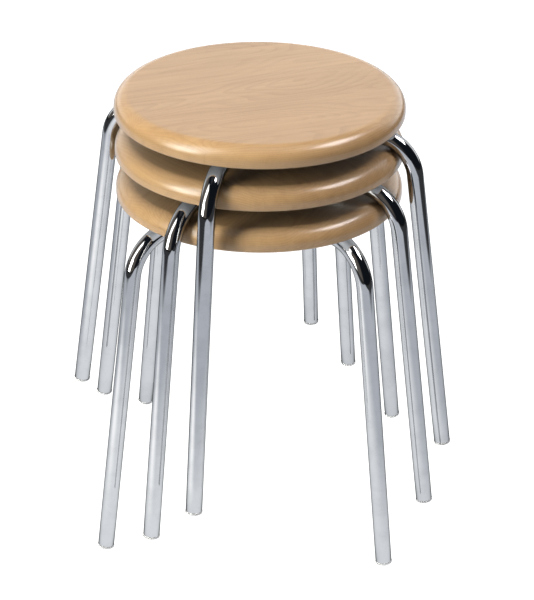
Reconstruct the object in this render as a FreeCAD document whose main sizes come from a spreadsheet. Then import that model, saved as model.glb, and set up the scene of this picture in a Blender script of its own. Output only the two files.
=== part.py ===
import FreeCAD, Part
import os
import Sketcher

# A stack of three identical stools, in millimetres, +Z up.
# Each stool has a round wooden seat on four bent steel tubes. The tubes meet in a mitred cross
# under the seat, are welded to a round plate, and the plate is screwed to the wood from below.
# The origin is on the floor, on the axis that the three seats share. The front is towards -Y.

doc = FreeCAD.newDocument("StackingStools")
V = FreeCAD.Vector

# Driving dimensions: millimetres, and degrees where the name says turn, twist or splay.

SIZES = {
    "seat_height": 450,            # top of the lowest seat above the floor
    "seat_diameter": 350,
    "seat_thickness": 25,
    "seat_top_edge_radius": 17.5,  # the large round-over that the sitter feels
    "seat_bottom_edge_radius": 3,
    "seat_side_land_height": 0.5,  # least upright band left between the two round-overs
    "tube_diameter": 20,
    "tube_wall": 1.5,
    "bend_radius": 53,             # centre line of the bend
    "leg_overhang_length": 13,     # how far the corner of the tube's centre line passes the seat
    "leg_splay": 8.2,              # lean of a leg from the upright
    "plate_diameter": 120,
    "plate_thickness": 2,
    "screw_circle_diameter": 84,
    "screw_count": 4,
    "screw_shank_diameter": 4,
    "screw_length": 18,            # below the head
    "screw_point_length": 4,
    "screw_head_diameter": 8.4,
    "screw_head_height": 2.6,
    "screw_recess_length": 4.6,    # tip to tip of the cross
    "screw_recess_width": 1,
    "screw_recess_depth": 1.5,
    "screw_hole_clearance": 0.6,   # on the diameter, in the plate
    "pilot_clearance": 0.1,        # on the diameter, in the wood
    "pilot_spare_depth": 1,
    "weld_start_distance": 16,     # from the stool's axis
    "weld_length": 38,
    "weld_root_width": 3.5,        # sideways from the line where the tube touches the plate
    "weld_width": 4.5,             # along the plate, from the root out
    "weld_depth": 4.2,             # down the side of the tube
    "glide_overhang_width": 0.4,   # rim of the glide beyond the tube, on the radius
    "glide_rim_height": 2.2,
    "glide_dome_radius": 16,
    "glide_flat_depth": 1,         # how much of the dome is cut off where it stands
    "glide_stem_length": 18,
    "glide_rib_count": 3,
    "glide_rib_pitch": 5,
    "glide_rib_height": 1.2,
    "glide_rib_depth": 1.1,
    "glide_fit_clearance": 0.1,    # rib to bore, on the diameter
    "bottom_turn": -139.7,         # direction of the lowest stool's front leg from +X
    "middle_twist": 18.7,          # turn of the middle stool against the one below
    "top_twist": 13.6,             # turn of the top stool against the one below
    "nest_clearance": 0.3,         # tube to the seat that it rests on
}

sheet = doc.addObject("Spreadsheet::Sheet", "Sizes")
for row, (alias, value) in enumerate(SIZES.items(), start=1):
    sheet.set(f"A{row}", str(value))
    sheet.setAlias(f"A{row}", alias)
doc.recompute()

# Sizes that follow from the driving ones, as expressions over the sheet.

SEAT_RADIUS = "(Sizes.seat_diameter / 2)"
SEAT_EDGE = (
    "min(Sizes.seat_top_edge_radius;"
    " Sizes.seat_thickness - Sizes.seat_bottom_edge_radius - Sizes.seat_side_land_height)"
)
TUBE_RADIUS = "(Sizes.tube_diameter / 2)"
BORE_RADIUS = f"({TUBE_RADIUS} - Sizes.tube_wall)"
SEAT_UNDERSIDE = "(Sizes.seat_height - Sizes.seat_thickness)"
PLATE_UNDERSIDE = f"({SEAT_UNDERSIDE} - Sizes.plate_thickness)"
AXIS_HEIGHT = f"({PLATE_UNDERSIDE} - {TUBE_RADIUS})"
CORNER_REACH = f"({SEAT_RADIUS} + Sizes.leg_overhang_length)"
FOOT_REACH = f"({CORNER_REACH} + {AXIS_HEIGHT} * tan(Sizes.leg_splay))"
BEND_SETBACK = "(Sizes.bend_radius * tan((90 - Sizes.leg_splay) / 2))"
BEND_START = f"({CORNER_REACH} - {BEND_SETBACK})"

# A nested stool comes to rest where the inside of its bends meets the round-over of the seat
# below. OVERHANG and SPAN are the offset and the difference of those two arcs.
SPAN = f"(Sizes.bend_radius - {TUBE_RADIUS} - {SEAT_EDGE})"
OVERHANG = f"({SEAT_RADIUS} - {SEAT_EDGE} - {BEND_START})"
CLEAR_SPAN = f"({SPAN} - Sizes.nest_clearance)"
NEST_GAP = (
    f"({OVERHANG} > 0 ? {SPAN} - sqrt({CLEAR_SPAN} * {CLEAR_SPAN} - {OVERHANG} * {OVERHANG})"
    " : Sizes.nest_clearance)"
)
STACK_PITCH = f"(Sizes.seat_thickness + Sizes.plate_thickness + Sizes.tube_diameter + {NEST_GAP})"

# The glide's dome is centred on the leg's axis, this far along it from the floor.
DOME_CENTRE = "((Sizes.glide_dome_radius - Sizes.glide_flat_depth) / cos(Sizes.leg_splay))"
RIM_RADIUS = f"({TUBE_RADIUS} + Sizes.glide_overhang_width)"
RIM_START = f"({DOME_CENTRE} - sqrt(pow(Sizes.glide_dome_radius; 2) - pow({RIM_RADIUS}; 2)))"
TUBE_END = f"({RIM_START} + Sizes.glide_rim_height)"

# Each stool's level in the stack and its turn about the stack's axis.
STOOLS = {
    "bottom": ("0", "Sizes.bottom_turn"),
    "middle": (STACK_PITCH, "(Sizes.bottom_turn + Sizes.middle_twist)"),
    "top": (f"(2 * {STACK_PITCH})", "(Sizes.bottom_turn + Sizes.middle_twist + Sizes.top_twist)"),
}

LEGS = {"front": 0, "right": 90, "back": 180, "left": 270}


def number(expression):
    """The present value of an expression over the sheet."""
    value = sheet.evalExpression(expression)
    return float(getattr(value, "Value", value))


def new_body(name):
    body = doc.addObject("PartDesign::Body", name)
    body.Label = name
    body.AllowCompound = True
    return body


def plane(body, role):
    return next(item for item in body.Origin.OriginFeatures if item.Role == role)


def new_sketch(body, name, role):
    sketch = body.newObject("Sketcher::SketchObject", name)
    sketch.AttachmentSupport = (plane(body, role), [""])
    sketch.MapMode = "FlatFace"
    return sketch


def pin(sketch, edge, end, across, up):
    """Fix one end of an edge at a pair of expressions, measured from the sketch's origin."""
    for kind, axis, expression in (("DistanceX", -2, across), ("DistanceY", -1, up)):
        if expression == "0":
            sketch.addConstraint(Sketcher.Constraint("PointOnObject", edge, end, axis))
            continue
        value = number(expression)
        index = sketch.addConstraint(Sketcher.Constraint(kind, -1, 1, edge, end, value))
        sketch.setExpression(f"Constraints[{index}]", expression)


def arc_between(start, end, radius, side):
    """The shorter arc from start to end, bulging to the left (1) or right (-1) of its chord."""
    chord = end - start
    across = V(-chord.y, chord.x, 0).normalize()
    sagitta = radius - (radius**2 - (chord.Length / 2) ** 2) ** 0.5
    middle = (start + end) / 2 + across * (side * sagitta)
    return Part.Arc(start, middle, end)


def outline(sketch, corners, closed=True):
    """Draw an outline through corners (across, up, radius, side), all sizes as expressions.

    radius and side describe the edge that leaves the corner: None for a straight one.
    """
    points = [V(number(across), number(up), 0) for across, up, _, _ in corners]
    edges = []
    last = len(corners) if closed else len(corners) - 1
    for index in range(last):
        start, end = points[index], points[(index + 1) % len(points)]
        radius, side = corners[index][2:]
        if radius is None:
            edges.append((sketch.addGeometry(Part.LineSegment(start, end), False), 1, 2))
            continue
        bow = arc_between(start, end, number(radius), side)
        edge = sketch.addGeometry(bow, False)
        begins = (sketch.getPoint(edge, 1) - start).Length < (sketch.getPoint(edge, 2) - start).Length
        edges.append((edge, 1, 2) if begins else (edge, 2, 1))
    for index, (edge, first, second) in enumerate(edges):
        pin(sketch, edge, first, *corners[index][:2])
        if closed or index + 1 < len(edges):
            after, after_first, _ = edges[(index + 1) % len(edges)]
            sketch.addConstraint(Sketcher.Constraint("Coincident", edge, second, after, after_first))
        else:
            pin(sketch, edge, second, *corners[index + 1][:2])
        radius = corners[index][2]
        if radius is not None:
            bound = sketch.addConstraint(Sketcher.Constraint("Radius", edge, number(radius)))
            sketch.setExpression(f"Constraints[{bound}]", radius)
    return [edge for edge, _, _ in edges]


def circle(sketch, across, up, diameter):
    centre = V(number(across), number(up), 0)
    edge = sketch.addGeometry(Part.Circle(centre, V(0, 0, 1), number(diameter) / 2), False)
    pin(sketch, edge, 3, across, up)
    bound = sketch.addConstraint(Sketcher.Constraint("Diameter", edge, number(diameter)))
    sketch.setExpression(f"Constraints[{bound}]", diameter)


def corner(across, up, radius=None, side=1):
    return (across, up, radius, side)


def revolve(body, sketch, name, feature="PartDesign::Revolution"):
    turned = body.newObject(feature, name)
    turned.Profile = sketch
    turned.ReferenceAxis = (sketch, ["V_Axis"])
    turned.Angle = 360
    return turned


def cut(body, sketch, name, depth=None, both_sides=False, upwards=False):
    """Cut a sketch's outline out of the body: right through, or to a depth."""
    pocket = body.newObject("PartDesign::Pocket", name)
    pocket.Profile = sketch
    if depth is None:
        pocket.Type = "ThroughAll"
    else:
        pocket.Type = "Length"
        pocket.setExpression("Length", depth)
    pocket.Midplane = both_sides
    pocket.Reversed = upwards
    return pocket


def around(body, features, count, name):
    """Repeat features evenly about the body's own Z axis."""
    pattern = body.newObject("PartDesign::PolarPattern", name)
    pattern.Originals = features
    pattern.Axis = (plane(body, "Z_Axis"), [""])
    pattern.Angle = 360
    pattern.setExpression("Occurrences", count)
    body.Tip = pattern
    return pattern


def place(body, height, turn):
    body.setExpression("Placement", f"placement(vector(0; 0; {height}); rotationz({turn}))")


# The seat: a solid round of beech with a wide round-over above and a small one below.


def make_seat(stool, level, turn):
    body = new_body(f"{stool}_seat")
    section = new_sketch(body, f"{stool}_seat_section", "XZ_Plane")
    outline(section, [
        corner("0", "0"),
        corner(f"{SEAT_RADIUS} - Sizes.seat_bottom_edge_radius", "0",
               "Sizes.seat_bottom_edge_radius", -1),
        corner(SEAT_RADIUS, "Sizes.seat_bottom_edge_radius"),
        corner(SEAT_RADIUS, f"Sizes.seat_thickness - {SEAT_EDGE}", SEAT_EDGE, -1),
        corner(f"{SEAT_RADIUS} - {SEAT_EDGE}", "Sizes.seat_thickness"),
        corner("0", "Sizes.seat_thickness"),
    ])
    revolve(body, section, f"{stool}_seat_round")
    holes = new_sketch(body, f"{stool}_seat_pilot", "XY_Plane")
    circle(holes, "Sizes.screw_circle_diameter / 2", "0",
           "Sizes.screw_shank_diameter + Sizes.pilot_clearance")
    pilot = cut(body, holes, f"{stool}_seat_pilot_hole",
                "Sizes.screw_length - Sizes.plate_thickness + Sizes.pilot_spare_depth", upwards=True)
    around(body, [pilot], "Sizes.screw_count", f"{stool}_seat_pilot_holes")
    place(body, f"{level} + {SEAT_UNDERSIDE}", f"{turn} + 45")
    return body


# The mounting plate: a steel disc between the tubes and the wood.


def make_plate(stool, level, turn):
    body = new_body(f"{stool}_mounting_plate")
    disc = new_sketch(body, f"{stool}_plate_outline", "XY_Plane")
    circle(disc, "0", "0", "Sizes.plate_diameter")
    pad = body.newObject("PartDesign::Pad", f"{stool}_plate_disc")
    pad.Profile = disc
    pad.setExpression("Length", "Sizes.plate_thickness")
    holes = new_sketch(body, f"{stool}_plate_hole", "XY_Plane")
    circle(holes, "Sizes.screw_circle_diameter / 2", "0",
           "Sizes.screw_shank_diameter + Sizes.screw_hole_clearance")
    hole = cut(body, holes, f"{stool}_plate_screw_hole", both_sides=True)
    around(body, [hole], "Sizes.screw_count", f"{stool}_plate_screw_holes")
    place(body, f"{level} + {PLATE_UNDERSIDE}", f"{turn} + 45")
    return body


# A leg: one bent tube from the mitred cross at the middle, out under the seat and down.


def make_leg(stool, level, turn, name, offset):
    body = new_body(f"{stool}_leg_{name}")
    ring = new_sketch(body, f"{stool}_{name}_tube_section", "YZ_Plane")
    circle(ring, "0", AXIS_HEIGHT, "Sizes.tube_diameter")
    circle(ring, "0", AXIS_HEIGHT, f"2 * {BORE_RADIUS}")
    route = new_sketch(body, f"{stool}_{name}_tube_route", "XZ_Plane")
    drop = f"({BEND_SETBACK} * cos(Sizes.leg_splay))"
    outline(route, [
        corner("0", AXIS_HEIGHT),
        corner(BEND_START, AXIS_HEIGHT, "Sizes.bend_radius", 1),
        corner(f"{CORNER_REACH} + {BEND_SETBACK} * sin(Sizes.leg_splay)", f"{AXIS_HEIGHT} - {drop}"),
        corner(f"{FOOT_REACH} - {TUBE_END} * sin(Sizes.leg_splay)",
               f"{TUBE_END} * cos(Sizes.leg_splay)"),
    ], closed=False)
    tube = body.newObject("PartDesign::AdditivePipe", f"{stool}_{name}_tube")
    tube.Profile = ring
    tube.Spine = route
    wedge = new_sketch(body, f"{stool}_{name}_mitre_outline", "XY_Plane")
    side = "Sizes.tube_diameter"
    outline(wedge, [
        corner("0", "0"),
        corner(side, side),
        corner(f"-{side}", side),
        corner(f"-{side}", f"-{side}"),
        corner(side, f"-{side}"),
    ])
    cut(body, wedge, f"{stool}_{name}_mitre", both_sides=True)
    place(body, level, f"{turn} + {offset}")
    return body


# The weld beads: a pair along each tube, in the groove between it and the plate.


def make_welds(stool, level, turn):
    body = new_body(f"{stool}_weld_beads")
    section = new_sketch(body, f"{stool}_weld_section", "YZ_Plane")
    section.setExpression("AttachmentOffset.Base.z", "Sizes.weld_start_distance")
    toe = "(Sizes.weld_root_width + Sizes.weld_width)"
    tube_at_root = f"(sqrt(pow({TUBE_RADIUS}; 2) - pow(Sizes.weld_root_width; 2)) - {TUBE_RADIUS})"
    lower = f"sqrt(pow({TUBE_RADIUS}; 2) - pow({TUBE_RADIUS} - Sizes.weld_depth; 2))"
    for side in (1, -1):
        sign = "" if side == 1 else "-"
        outline(section, [
            corner(f"{sign}Sizes.weld_root_width", "0"),
            corner(f"{sign}{toe}", "0"),
            corner(f"{sign}{lower}", "-Sizes.weld_depth", TUBE_RADIUS, -side),
            corner(f"{sign}Sizes.weld_root_width", tube_at_root),
        ])
    bead = body.newObject("PartDesign::Pad", f"{stool}_weld_pair")
    bead.Profile = section
    bead.setExpression("Length", "Sizes.weld_length")
    around(body, [bead], "4", f"{stool}_weld_pairs")
    place(body, f"{level} + {PLATE_UNDERSIDE}", turn)
    return body


# The seat screws: round-head wood screws with a cross recess, driven up through the plate.


def make_screws(stool, level, turn):
    body = new_body(f"{stool}_seat_screws")
    section = new_sketch(body, f"{stool}_screw_section", "XZ_Plane")
    middle = "(Sizes.screw_circle_diameter / 2)"
    shank = f"{middle} + Sizes.screw_shank_diameter / 2"
    head = f"{middle} + Sizes.screw_head_diameter / 2"
    head_curve = "pow(Sizes.screw_head_diameter / 2; 2)"
    dome = f"((pow(Sizes.screw_head_height; 2) + {head_curve}) / (2 * Sizes.screw_head_height))"
    outline(section, [
        corner(middle, "-Sizes.screw_head_height", dome, -1),
        corner(head, "0"),
        corner(shank, "0"),
        corner(shank, "Sizes.screw_length - Sizes.screw_point_length"),
        corner(middle, "Sizes.screw_length"),
    ])
    screw_axis = section.addGeometry(
        Part.LineSegment(V(number(middle), 0, 0), V(number(middle), number("Sizes.screw_length"), 0)),
        True,
    )
    pin(section, screw_axis, 1, middle, "0")
    pin(section, screw_axis, 2, middle, "Sizes.screw_length")
    turned = revolve(body, section, f"{stool}_screw_turned")
    turned.ReferenceAxis = (section, ["Axis0"])
    cross = new_sketch(body, f"{stool}_screw_cross", "XY_Plane")
    cross.setExpression("AttachmentOffset.Base.z", "-Sizes.screw_head_height")
    arm = "(Sizes.screw_recess_length / 2)"
    half = "(Sizes.screw_recess_width / 2)"
    steps = [(arm, half), (half, half), (half, arm)]
    corners = []
    for quarter in range(4):
        across_sign = "-" if quarter in (1, 2) else ""
        up_sign = "-" if quarter in (2, 3) else ""
        run = steps if quarter in (0, 2) else steps[::-1]
        for across, up in run:
            corners.append(corner(f"{middle} + {across_sign}{across}", f"{up_sign}{up}"))
    outline(cross, corners)
    recess = cut(body, cross, f"{stool}_screw_recess", "Sizes.screw_recess_depth", upwards=True)
    around(body, [turned, recess], "Sizes.screw_count", f"{stool}_screw_set")
    place(body, f"{level} + {PLATE_UNDERSIDE}", f"{turn} + 45")
    return body


# A glide: a plastic plug with a ribbed stem in the tube and a domed foot, flat where it stands.


def make_glide(stool, level, turn, name, offset):
    body = new_body(f"{stool}_glide_{name}")
    section = new_sketch(body, f"{stool}_{name}_glide_section", "XZ_Plane")
    rib = f"({BORE_RADIUS} - Sizes.glide_fit_clearance / 2)"
    core = f"({rib} - Sizes.glide_rib_depth)"
    corners = [
        corner("0", f"{DOME_CENTRE} - Sizes.glide_dome_radius", "Sizes.glide_dome_radius", -1),
        corner(RIM_RADIUS, RIM_START),
        corner(RIM_RADIUS, TUBE_END),
        corner(core, TUBE_END),
    ]
    for index in range(int(number("Sizes.glide_rib_count"))):
        foot = f"({TUBE_END} + {index + 0.5} * Sizes.glide_rib_pitch)"
        corners += [
            corner(core, foot),
            corner(rib, foot),
            corner(rib, f"{foot} + Sizes.glide_rib_height"),
            corner(core, f"{foot} + 2 * Sizes.glide_rib_height"),
        ]
    corners += [
        corner(core, f"{TUBE_END} + Sizes.glide_stem_length"),
        corner("0", f"{TUBE_END} + Sizes.glide_stem_length"),
    ]
    outline(section, corners)
    revolve(body, section, f"{stool}_{name}_glide_plug")
    floor = new_sketch(body, f"{stool}_{name}_floor_line", "XZ_Plane")
    wide = f"(2 * {RIM_RADIUS})"
    outline(floor, [
        corner(f"-{wide}", f"{wide} * tan(Sizes.leg_splay)"),
        corner(f"-{wide}", f"-{wide}"),
        corner(wide, f"-{wide}"),
        corner(wide, f"-{wide} * tan(Sizes.leg_splay)"),
    ])
    cut(body, floor, f"{stool}_{name}_glide_flat", both_sides=True)
    azimuth = f"({turn} + {offset})"
    body.setExpression(
        "Placement",
        f"placement(vector({FOOT_REACH} * cos({azimuth}); {FOOT_REACH} * sin({azimuth}); {level});"
        f" rotationz({azimuth}) * rotationy(-Sizes.leg_splay))",
    )
    return body


def build():
    pieces = []
    for stool, (level, turn) in STOOLS.items():
        pieces.append(make_seat(stool, level, turn))
        pieces.append(make_plate(stool, level, turn))
        pieces.append(make_screws(stool, level, turn))
        pieces.append(make_welds(stool, level, turn))
        for name, offset in LEGS.items():
            pieces.append(make_leg(stool, level, turn, name, offset))
            pieces.append(make_glide(stool, level, turn, name, offset))
    doc.recompute()
    return pieces


def check(pieces):
    for item in doc.Objects:
        if {"Invalid", "Error"} & set(item.State):
            raise RuntimeError(f"{item.Label} failed: {item.State}")
    for piece in pieces:
        if piece.Shape.isNull() or not piece.Shape.isValid():
            raise RuntimeError(f"{piece.Label} has no valid shape")


def write(pieces):
    os.makedirs("parts", exist_ok=True)
    for piece in pieces:
        piece.Shape.exportStep(f"parts/{piece.Label}.step")
        count = len(piece.Shape.Solids)
        print(f"{piece.Label}: {count} solid(s), {piece.Shape.Volume:.1f} mm3")


made = build()
check(made)
write(made)
print(f"stack pitch {number(STACK_PITCH):.3f} mm, nest gap {number(NEST_GAP):.3f} mm")
print(f"foot reach {number(FOOT_REACH):.3f} mm, tube ends {number(TUBE_END):.3f} mm up the leg")
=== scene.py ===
# %% [markdown]
# A stack of three stools
#
# The real object is three identical stools, nested in one another. Each has a round beech seat with
# a wide round-over, four bright plated steel tubes that meet under the seat, a round steel plate,
# four wood screws and four plastic glides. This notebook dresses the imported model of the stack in
# Blender. Everything is in metres, with the floor at z = 0 and the front towards -Y.
#
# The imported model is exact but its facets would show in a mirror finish, so the large pieces are
# made again here with many more faces, from the same sizes. The small screws are good as they are
# and only get a finish.

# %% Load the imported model
import math

import bmesh
import bpy
from mathutils import Matrix, Vector


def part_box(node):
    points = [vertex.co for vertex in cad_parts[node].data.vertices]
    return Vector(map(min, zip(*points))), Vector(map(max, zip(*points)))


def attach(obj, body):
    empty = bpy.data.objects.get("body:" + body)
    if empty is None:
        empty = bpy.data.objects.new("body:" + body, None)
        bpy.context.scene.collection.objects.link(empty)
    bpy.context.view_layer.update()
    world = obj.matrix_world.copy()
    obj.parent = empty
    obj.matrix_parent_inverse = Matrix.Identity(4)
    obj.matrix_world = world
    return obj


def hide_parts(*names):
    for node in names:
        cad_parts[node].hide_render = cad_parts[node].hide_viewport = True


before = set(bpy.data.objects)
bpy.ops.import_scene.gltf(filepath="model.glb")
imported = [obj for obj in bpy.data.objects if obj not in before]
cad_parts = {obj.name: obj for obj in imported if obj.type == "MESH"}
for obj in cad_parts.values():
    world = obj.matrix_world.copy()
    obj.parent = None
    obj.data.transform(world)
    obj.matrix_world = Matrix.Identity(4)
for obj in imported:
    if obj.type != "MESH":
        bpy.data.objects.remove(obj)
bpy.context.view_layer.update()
MM = 0.001

# %% [markdown]
# Where each stool stands
#
# All three stools are alike, so each is drawn once in its own coordinates, standing on its own
# floor with its front leg along +X, and then turned and lifted into its place in the stack. The
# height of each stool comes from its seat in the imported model. The turn is that of the line from
# its back glide to its front glide. This way the scene follows the model if the stack changes.

# %% Stools, legs and their places
STOOLS = ("bottom", "middle", "top")
LEGS = {"front": 0, "right": 90, "back": 180, "left": 270}


def node_centre(node):
    low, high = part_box(node)
    return (low + high) / 2


def stool_place(stool):
    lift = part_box(f"{stool}_seat")[1].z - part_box("bottom_seat")[1].z
    foot = node_centre(f"{stool}_glide_front") - node_centre(f"{stool}_glide_back")
    return Matrix.Translation((0, 0, lift)) @ Matrix.Rotation(math.atan2(foot.y, foot.x), 4, "Z")


PLACE = {stool: stool_place(stool) for stool in STOOLS}
for stool, place in PLACE.items():
    turn = math.degrees(place.to_euler().z)
    print(f"{stool} stool: lifted {place.translation.z / MM:.2f} mm, turned {turn:.1f} degrees")

# %% [markdown]
# Main sizes
#
# A few sizes of the seat and the tube drive every piece. The outer ones are read from the packed
# model: the seat's radius, its underside and its top, and the underside of the plate, which the
# tubes touch from below. The others are the maker's own: the round-overs, the bend and the splay.

# %% Sizes of the seat and the tube
seat_low, seat_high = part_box("bottom_seat")
SEAT_RADIUS = (seat_high.y - seat_low.y) / 2
SEAT_TOP = seat_high.z
SEAT_UNDERSIDE = seat_low.z
SEAT_TOP_EDGE = 17.5 * MM
SEAT_BOTTOM_EDGE = 3 * MM

plate_low, plate_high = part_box("bottom_mounting_plate")
PLATE_RADIUS = (plate_high.y - plate_low.y) / 2
PLATE_UNDERSIDE = plate_low.z

TUBE_RADIUS = 10 * MM
TUBE_WALL = 1.5 * MM
BEND_RADIUS = 53 * MM
LEG_SPLAY = math.radians(8.2)
AXIS_HEIGHT = PLATE_UNDERSIDE - TUBE_RADIUS
CORNER_REACH = SEAT_RADIUS + 13 * MM
FOOT_REACH = CORNER_REACH + AXIS_HEIGHT * math.tan(LEG_SPLAY)
BEND_TURN = math.pi / 2 - LEG_SPLAY
BEND_SETBACK = BEND_RADIUS * math.tan(BEND_TURN / 2)
print(f"seat radius {SEAT_RADIUS / MM:.1f} mm, a foot stands {FOOT_REACH / MM:.1f} mm from the axis")

# %% [markdown]
# Turned pieces
#
# A seat and a glide are round, so half of their outline is enough: the outline is spun about the
# Z axis, as on a lathe. An arc in the outline is drawn with many short steps, because its steps
# become the rings that the light runs over. The same helper serves both pieces.

# %% Points of an arc


def arc(centre, radius, start, end, steps):
    """Points of an arc in the outline's plane; the angles are in degrees from outwards."""
    turns = [math.radians(start + (end - start) * i / steps) for i in range(steps + 1)]
    return [(centre[0] + radius * math.cos(t), centre[1] + radius * math.sin(t)) for t in turns]


print("a half circle in six steps has", len(arc((0, 0), 1, -90, 90, 6)), "points")

# %% Spin an outline


def skin(mesh, rings):
    """Faces between each ring of points and the next."""
    for first, second in zip(rings, rings[1:]):
        for i in range(len(first)):
            j = (i + 1) % len(first)
            mesh.faces.new((first[i], first[j], second[j], second[i]))


def turned_mesh(outline, around):
    """A closed mesh from an outline that starts and ends on the axis."""
    mesh = bmesh.new()
    rings = []
    for reach, height in outline[1:-1]:
        ring = []
        for i in range(around):
            angle = 2 * math.pi * i / around
            ring.append(mesh.verts.new((reach * math.cos(angle), reach * math.sin(angle), height)))
        rings.append(ring)
    skin(mesh, rings)
    for ring, (_, height), order in ((rings[0], outline[0], -1), (rings[-1], outline[-1], 1)):
        tip = mesh.verts.new((0, 0, height))
        for i in range(around):
            pair = (ring[i], ring[(i + 1) % around])[::order]
            mesh.faces.new((tip, *pair))
    return mesh


cone = turned_mesh([(0, 0), (1, 0), (0, 1)], 8)
print("a cone with eight sides has", len(cone.faces), "faces")
cone.free()

# %% [markdown]
# Every finished mesh goes into the scene in the same way. It is moved to its stool's place, its
# faces are turned outwards and shaded smooth, and it gets its finish. Then it is tied to its stool,
# so that it moves with it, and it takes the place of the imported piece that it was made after.

# %% Put a piece into the scene


def add_piece(name, mesh, place, body, replaced, material):
    """Put a finished mesh into the scene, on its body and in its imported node's place."""
    data = bpy.data.meshes.new(name)
    mesh.transform(place)
    bmesh.ops.recalc_face_normals(mesh, faces=mesh.faces)
    mesh.to_mesh(data)
    mesh.free()
    data.shade_smooth()
    data.materials.append(material)
    piece = bpy.data.objects.new(name, data)
    bpy.context.scene.collection.objects.link(piece)
    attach(piece, body)
    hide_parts(replaced)
    return piece


finer = [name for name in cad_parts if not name.endswith("_screws")]
print("nodes that get a finer piece:", len(finer))

# %% [markdown]
# Small tools for node trees
#
# A material is a chain of small nodes. Writing each one with its inputs on one line keeps the
# recipe readable: a value is set on the socket, and another node's output is linked to it.

# %% Nodes, sums and vectors


def feed(tree, sockets, inputs):
    """Link other nodes' outputs to these sockets, or set them to plain values."""
    for label, value in inputs.items():
        if isinstance(value, bpy.types.NodeSocket):
            tree.links.new(value, sockets[label])
        else:
            sockets[label].default_value = value


def add_node(tree, kind, inputs=None, **settings):
    made = tree.nodes.new(kind)
    for key, value in settings.items():
        setattr(made, key, value)
    feed(tree, made.inputs, inputs or {})
    return made


def math_node(tree, operation, *values, clamp=False):
    inputs = dict(enumerate(values))
    made = add_node(tree, "ShaderNodeMath", inputs, operation=operation, use_clamp=clamp)
    return made.outputs[0]


def vector_node(tree, operation, *values, out="Vector"):
    made = add_node(tree, "ShaderNodeVectorMath", dict(enumerate(values)), operation=operation)
    return made.outputs[out]


def scaled(tree, vector, amount):
    made = add_node(tree, "ShaderNodeVectorMath", {0: vector, "Scale": amount}, operation="SCALE")
    return made.outputs["Vector"]


def axes_of(tree, vector):
    return add_node(tree, "ShaderNodeSeparateXYZ", {0: vector}).outputs


print("tools for single nodes are ready")

# %% [markdown]
# A smooth range turns one span of numbers into another, without a corner at its ends. Soft noise is
# what makes a surface uneven. It is told how many waves it has in a metre along each axis, so the
# same tool draws long fibres and round clouds.

# %% Ranges, mixes and noise


def smooth_range(tree, value, low, high, to_low=0.0, to_high=1.0):
    inputs = {"Value": value, "From Min": low, "From Max": high, "To Min": to_low, "To Max": to_high}
    made = add_node(tree, "ShaderNodeMapRange", inputs, interpolation_type="SMOOTHSTEP")
    return made.outputs["Result"]


def mix_colours(tree, amount, first, second):
    """A blend of two colours; the colour sockets of a Mix node are numbers 6 and 7."""
    inputs = {0: amount, 6: first, 7: second}
    return add_node(tree, "ShaderNodeMix", inputs, data_type="RGBA").outputs[2]


def noise(tree, where, waves, detail, roughness):
    place = vector_node(tree, "MULTIPLY", where, waves)
    inputs = {"Vector": place, "Scale": 1.0, "Detail": detail, "Roughness": roughness}
    return add_node(tree, "ShaderNodeTexNoise", inputs).outputs["Fac"]


print("tools for patterns are ready")

# %% [markdown]
# A node group is a recipe with named inputs and outputs that several materials share. A new material
# has only its shader and output. Patterns follow the object's own coordinates, so that they stay
# with their piece when a stool is lifted.

# %% Node groups and materials
KINDS = {"value": "NodeSocketFloat", "colour": "NodeSocketColor", "vector": "NodeSocketVector"}


def new_group(name, inputs, outputs):
    tree = bpy.data.node_groups.new(name, "ShaderNodeTree")
    for label, (kind, value) in inputs.items():
        socket = tree.interface.new_socket(label, in_out="INPUT", socket_type=KINDS[kind])
        if value is not None:
            socket.default_value = value
    for label, kind in outputs.items():
        tree.interface.new_socket(label, in_out="OUTPUT", socket_type=KINDS[kind])
    start = tree.nodes.new("NodeGroupInput").outputs
    end = tree.nodes.new("NodeGroupOutput").inputs
    return tree, start, end


def use_group(tree, group, inputs):
    return add_node(tree, "ShaderNodeGroup", inputs, node_tree=group).outputs


def new_material(name):
    """A material with an empty tree but for its Principled shader and output."""
    material = bpy.data.materials.new(name)
    material.use_nodes = True
    tree = material.node_tree
    tree.nodes.clear()
    shader = tree.nodes.new("ShaderNodeBsdfPrincipled")
    output = tree.nodes.new("ShaderNodeOutputMaterial")
    tree.links.new(shader.outputs[0], output.inputs[0])
    return material, tree, shader.inputs


def own_position(tree):
    return add_node(tree, "ShaderNodeTexCoord").outputs["Object"]


def bumped(tree, height, strength, distance):
    inputs = {"Height": height, "Strength": strength, "Distance": distance}
    return add_node(tree, "ShaderNodeBump", inputs).outputs["Normal"]


print("kinds of socket in a group:", list(KINDS))

# %% [markdown]
# Beech
#
# The seats are steamed beech: pinkish beige, with faint growth lines that arch over one another,
# fine fibres, and tiny darker flecks where the wood's rays are cut. Each seat is glued up from a
# few staves, so a stave's tone and figure change at its glue line. The pattern is worked out in
# the solid, not painted on the surface, so it runs over the round-over as real grain does. Growth
# lines are slices of long cones: the distance from a far-off centre line, a little wavy.

# %% The beech grain group
grain, given, result = new_group(
    "beech_grain",
    {
        "Position": ("vector", None),
        "Grain Turn": ("value", 0.35),
        "Shift": ("vector", (0, 0, 0)),
        "Stave Width": ("value", 0.09),
        "Light": ("colour", (0.6, 0.42, 0.27, 1)),
        "Dark": ("colour", (0.4, 0.24, 0.13, 1)),
        "Figure": ("value", 0.5),
        "Flecks": ("value", 0.5),
    },
    {"Color": "colour", "Roughness": "value", "Height": "value"},
)
print("beech_grain takes:", [item.name for item in given if item.name])

# %% The staves
GLUE_LINE = 0.012  # half a glue line's width, as a share of its stave

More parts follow.
